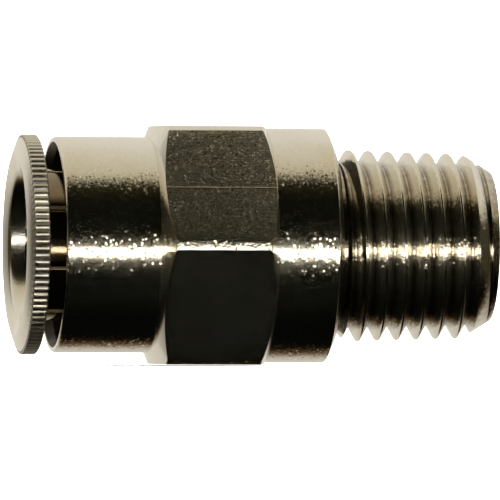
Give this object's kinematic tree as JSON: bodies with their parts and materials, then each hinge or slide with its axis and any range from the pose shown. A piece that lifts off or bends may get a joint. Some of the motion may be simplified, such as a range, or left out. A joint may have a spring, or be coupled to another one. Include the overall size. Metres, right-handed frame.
{
  "type": "push to connect fitting",
  "caption": "Straight male push-to-connect tube fitting: knurled release collar, slotted collet, round sleeve, hexagon, shoulder and taper pipe thread.",
  "frame": {"origin": "on the fitting's axis, halfway between the release collar's front and the thread's end", "axes": "+X along the fitting towards the thread's end, +Z out of the upper spanner flat"},
  "size_m": [0.0342, 0.0192, 0.017],
  "materials": {
    "nickel_plate": "bright nickel plate over turned brass",
    "bare_brass": "turned brass",
    "seal_rubber": "moulded black nitrile rubber"
  },
  "bodies": {
    "body": {"fitting_body": "nickel_plate", "retainer_ring": "bare_brass", "tube_seal": "seal_rubber"},
    "loose_ring": {"support_ring": "bare_brass"},
    "collar": {"release_collar": "nickel_plate"},
    "finger_1": {"collet_finger_1": "nickel_plate"},
    "finger_2": {"collet_finger_2": "nickel_plate"},
    "finger_3": {"collet_finger_3": "nickel_plate"},
    "finger_4": {"collet_finger_4": "nickel_plate"},
    "finger_5": {"collet_finger_5": "nickel_plate"},
    "finger_6": {"collet_finger_6": "nickel_plate"},
    "finger_7": {"collet_finger_7": "nickel_plate"},
    "finger_8": {"collet_finger_8": "nickel_plate"}
  },
  "joints": [
    {"name": "collar_turn", "type": "hinge", "parent": "body", "child": "loose_ring", "pos_m": [0, 0, 0], "axis": [1, 0, 0], "continuous": true},
    {"name": "collar_slide", "type": "slide", "parent": "loose_ring", "child": "collar", "axis": [1, 0, 0], "range_m": [-0.0003, 0.001]},
    {"name": "finger_1_flex", "type": "hinge", "parent": "collar", "child": "finger_1", "pos_m": [-0.01551, -0.00511, 0.00053], "axis": [0, -0.1028, -0.9947], "range_deg": [-2, 2], "stiffness_Nm_per_rad": 0.2},
    {"name": "finger_2_flex", "type": "hinge", "parent": "collar", "child": "finger_2", "pos_m": [-0.01551, -0.00324, 0.00399], "axis": [0, -0.776, -0.6307], "range_deg": [-2, 2], "stiffness_Nm_per_rad": 0.2},
    {"name": "finger_3_flex", "type": "hinge", "parent": "collar", "child": "finger_3", "pos_m": [-0.01551, 0.00053, 0.00511], "axis": [0, -0.9947, 0.1028], "range_deg": [-2, 2], "stiffness_Nm_per_rad": 0.2},
    {"name": "finger_4_flex", "type": "hinge", "parent": "collar", "child": "finger_4", "pos_m": [-0.01551, 0.00399, 0.00324], "axis": [0, -0.6307, 0.776], "range_deg": [-2, 2], "stiffness_Nm_per_rad": 0.2},
    {"name": "finger_5_flex", "type": "hinge", "parent": "collar", "child": "finger_5", "pos_m": [-0.01551, 0.00511, -0.00053], "axis": [0, 0.1028, 0.9947], "range_deg": [-2, 2], "stiffness_Nm_per_rad": 0.2},
    {"name": "finger_6_flex", "type": "hinge", "parent": "collar", "child": "finger_6", "pos_m": [-0.01551, 0.00324, -0.00399], "axis": [0, 0.776, 0.6307], "range_deg": [-2, 2], "stiffness_Nm_per_rad": 0.2},
    {"name": "finger_7_flex", "type": "hinge", "parent": "collar", "child": "finger_7", "pos_m": [-0.01551, -0.00053, -0.00511], "axis": [0, 0.9947, -0.1028], "range_deg": [-2, 2], "stiffness_Nm_per_rad": 0.2},
    {"name": "finger_8_flex", "type": "hinge", "parent": "collar", "child": "finger_8", "pos_m": [-0.01551, -0.00399, -0.00324], "axis": [0, 0.6307, -0.776], "range_deg": [-2, 2], "stiffness_Nm_per_rad": 0.2}
  ],
  "couplings": [
    {"joint": "finger_2_flex", "follows": "finger_1_flex", "ratio": 1},
    {"joint": "finger_3_flex", "follows": "finger_1_flex", "ratio": 1},
    {"joint": "finger_4_flex", "follows": "finger_1_flex", "ratio": 1},
    {"joint": "finger_5_flex", "follows": "finger_1_flex", "ratio": 1},
    {"joint": "finger_6_flex", "follows": "finger_1_flex", "ratio": 1},
    {"joint": "finger_7_flex", "follows": "finger_1_flex", "ratio": 1},
    {"joint": "finger_8_flex", "follows": "finger_1_flex", "ratio": 1}
  ]
}
